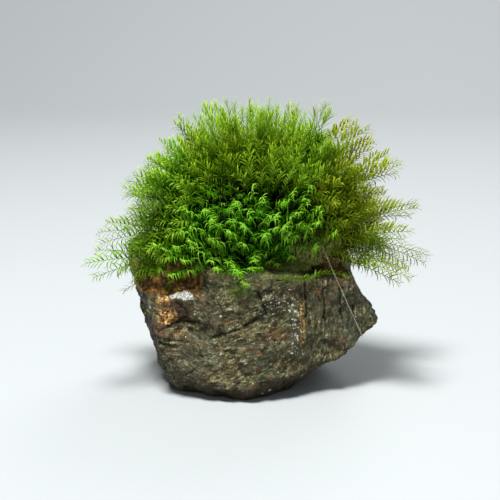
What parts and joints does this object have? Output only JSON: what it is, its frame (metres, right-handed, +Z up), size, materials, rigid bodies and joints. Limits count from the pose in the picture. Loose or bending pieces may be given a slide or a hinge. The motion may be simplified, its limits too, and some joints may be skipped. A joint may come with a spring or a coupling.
{
  "type": "feather moss on stone",
  "caption": "Palm-sized block of bedded schist with a half-ball of feathery aquarium moss growing on its top, bound on by one fine thread.",
  "frame": {"origin": "on the stone's flat sole, below the moss clump, where it rests", "axes": "+Z up; +X from the stone's rusty end to its pointed end; -Y out of the broken face with the quartz ledge"},
  "size_m": [0.0883, 0.0522, 0.0773],
  "materials": {
    "stone": "rough broken schist, slightly damp",
    "moss": "satin, translucent leaf",
    "thread": "glossy nylon"
  },
  "bodies": {
    "root": {"stone": "stone", "moss_cushion": "moss", "creeping_shoot": "moss", "binding_thread": "thread", "shoot_right_01": "moss", "shoot_right_02": "moss", "shoot_right_03": "moss", "shoot_right_04": "moss", "shoot_right_05": "moss", "shoot_right_06": "moss", "shoot_right_07": "moss", "shoot_right_08": "moss", "shoot_right_09": "moss", "shoot_right_10": "moss", "shoot_left_01": "moss", "shoot_left_02": "moss", "shoot_left_03": "moss", "shoot_left_04": "moss", "shoot_left_05": "moss", "shoot_left_06": "moss", "shoot_left_07": "moss", "shoot_left_08": "moss", "shoot_crown_01": "moss", "shoot_crown_02": "moss", "shoot_crown_03": "moss", "shoot_crown_04": "moss", "shoot_crown_05": "moss", "shoot_crown_06": "moss", "shoot_back_01": "moss", "shoot_back_02": "moss", "shoot_back_03": "moss"}
  },
  "joints": []
}
